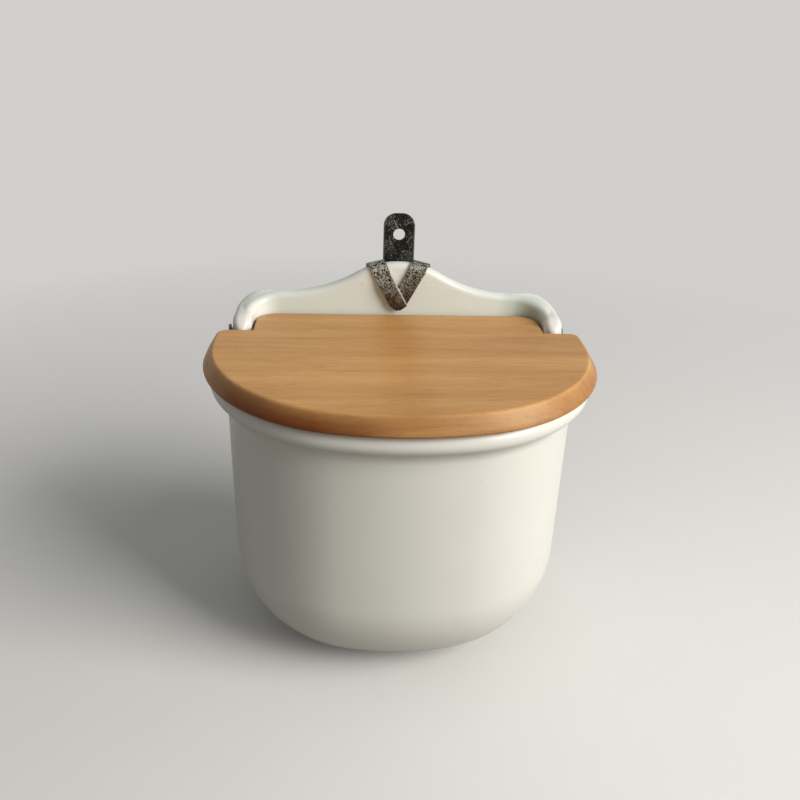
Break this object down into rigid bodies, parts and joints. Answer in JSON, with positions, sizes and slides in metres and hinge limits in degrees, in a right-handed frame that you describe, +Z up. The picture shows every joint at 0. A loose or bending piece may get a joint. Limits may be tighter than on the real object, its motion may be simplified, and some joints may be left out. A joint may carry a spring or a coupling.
{
  "type": "salt box with hinged lid",
  "caption": "Glazed ceramic wall salt box with a flat back, a hinged wooden lid between two ears and a folded iron hanger with a hanging hole.",
  "frame": {"origin": "middle of the whole part's width and depth, on the plane it stands on", "axes": "+Z up; +Y towards the wall, out of the flat back; the lid opens at the front, -Y; +X to the right seen from the front"},
  "size_m": [0.16, 0.1121, 0.1784],
  "materials": {
    "glaze": "glossy cream-white glaze",
    "beech": "oiled beech",
    "pin_steel": "dark, dull",
    "sheet_iron": "dark, pitted and worn",
    "rivet_iron": "dark, dull"
  },
  "bodies": {
    "pot": {"ceramic_pot": "glaze", "hanger_strap": "sheet_iron", "hanger_rivet": "rivet_iron"},
    "lid": {"lid": "beech", "hinge_pin_left": "pin_steel", "hinge_pin_right": "pin_steel"}
  },
  "joints": [
    {"name": "lid_hinge", "type": "hinge", "parent": "pot", "child": "lid", "pos_m": [0, 0.03575, 0.13105], "axis": [-1, 0, 0], "range_deg": [0, 100]}
  ]
}
